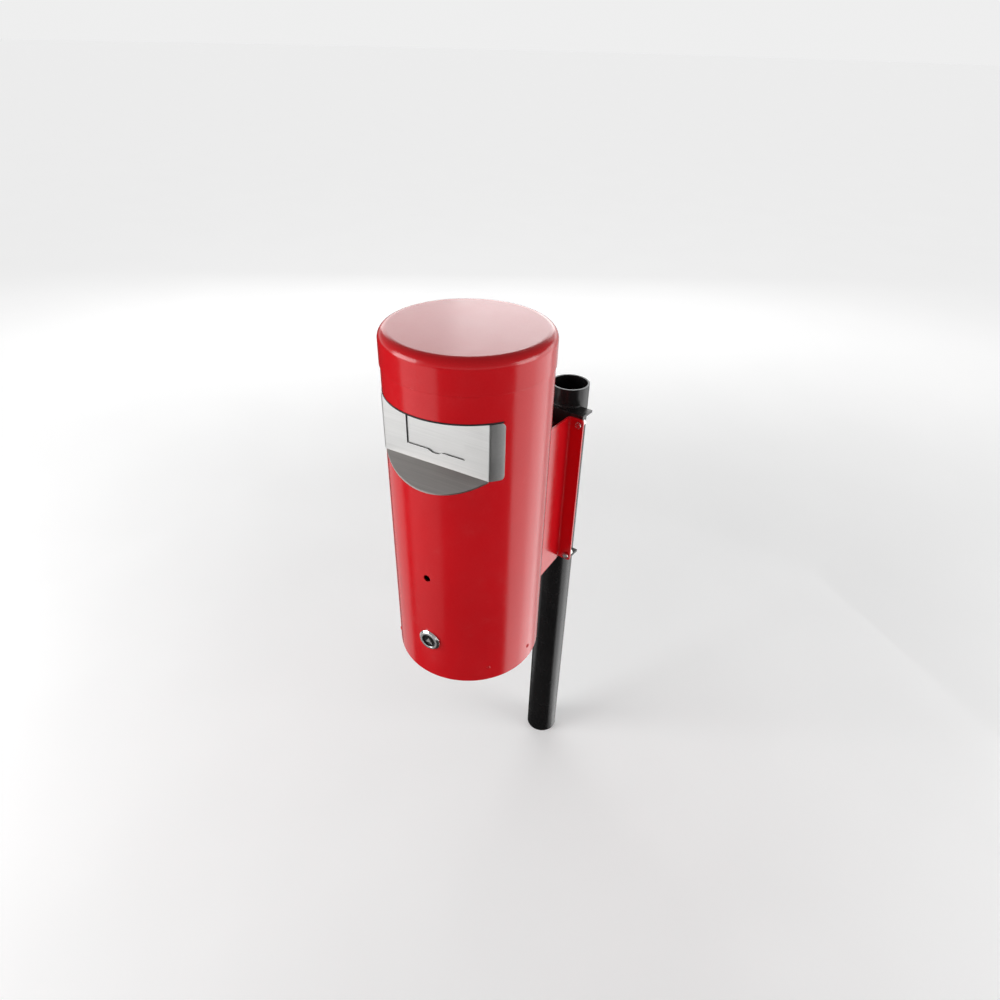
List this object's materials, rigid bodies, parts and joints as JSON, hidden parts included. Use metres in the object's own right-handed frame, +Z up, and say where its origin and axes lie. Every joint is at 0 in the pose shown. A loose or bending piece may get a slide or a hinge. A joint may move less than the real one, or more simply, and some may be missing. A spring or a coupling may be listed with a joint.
{
  "type": "dog waste bin",
  "caption": "Post-mounted cylindrical dog waste bin with a slip-on cap, a push flap in a recessed steel hatch, a drop base held by a key lock, and a rear bracket bolted to a tube post.",
  "frame": {"origin": "centre of the post's foot, on the ground", "axes": "+Z up along the post; the casing hangs on the -Y side of the post; the hatch faces -Y, turned 6.1 degrees towards +X"},
  "size_m": [0.2124, 0.3962, 0.9748],
  "materials": {
    "casing_paint": "glossy red powder coat",
    "hatch_steel": "satin stainless sheet",
    "sill_steel": "satin stainless sheet, darker grain",
    "edge_rubber": "matt black edging",
    "zinc_steel": "bright zinc plated",
    "ring_steel": "drawn stainless wire",
    "lock_chrome": "polished chrome",
    "lock_core_steel": "satin",
    "post_paint": "semi-gloss black powder coat"
  },
  "bodies": {
    "casing": {"bag_ring_hooks": "zinc_steel", "base_hinge_pin": "zinc_steel", "base_hinge_plate": "casing_paint", "base_ring": "casing_paint", "base_rivets": "casing_paint", "cap": "casing_paint", "cap_bridge": "zinc_steel", "cap_nuts": "zinc_steel", "cap_studs": "zinc_steel", "casing_bolts": "zinc_steel", "casing_nuts": "zinc_steel", "casing_tube": "casing_paint", "flap_rod": "zinc_steel", "flap_rod_brackets": "zinc_steel", "flap_rod_caps": "zinc_steel", "hatch_nuts": "zinc_steel", "hatch_panel": "hatch_steel", "hatch_sill": "sill_steel", "hatch_studs": "zinc_steel", "lock_housing": "lock_chrome", "lock_nut": "zinc_steel", "post_bolts": "zinc_steel", "post_lug_lower": "post_paint", "post_lug_upper": "post_paint", "post_nuts": "zinc_steel", "post_tube": "post_paint", "post_washers": "zinc_steel", "rear_bracket": "casing_paint", "window_edge_trim": "edge_rubber"},
    "hatch_flap_body": {"hatch_flap": "hatch_steel"},
    "base_flap_body": {"base_flap": "casing_paint", "latch_tongue": "casing_paint"},
    "lock_core_body": {"lock_plug": "lock_core_steel", "lock_cam": "zinc_steel", "lock_cam_screw": "zinc_steel"},
    "bag_ring_body": {"bag_ring": "ring_steel"}
  },
  "joints": [
    {"name": "hatch_flap_swing", "type": "hinge", "parent": "casing", "child": "hatch_flap_body", "pos_m": [0.0074, -0.32591, 0.897], "axis": [0.9943, 0.1063, 0], "range_deg": [0, 72]},
    {"name": "base_flap_swing", "type": "hinge", "parent": "casing", "child": "base_flap_body", "pos_m": [-0.00935, -0.1692, 0.49], "axis": [0.9943, 0.1063, 0], "range_deg": [0, 95]},
    {"name": "lock_turn", "type": "hinge", "parent": "casing", "child": "lock_core_body", "pos_m": [0.01063, -0.35613, 0.5535], "axis": [0.1063, -0.9943, 0], "range_deg": [0, 90]},
    {"name": "bag_ring_lift", "type": "slide", "parent": "casing", "child": "bag_ring_body", "axis": [0, 0, 1], "range_m": [0, 0.015]}
  ]
}
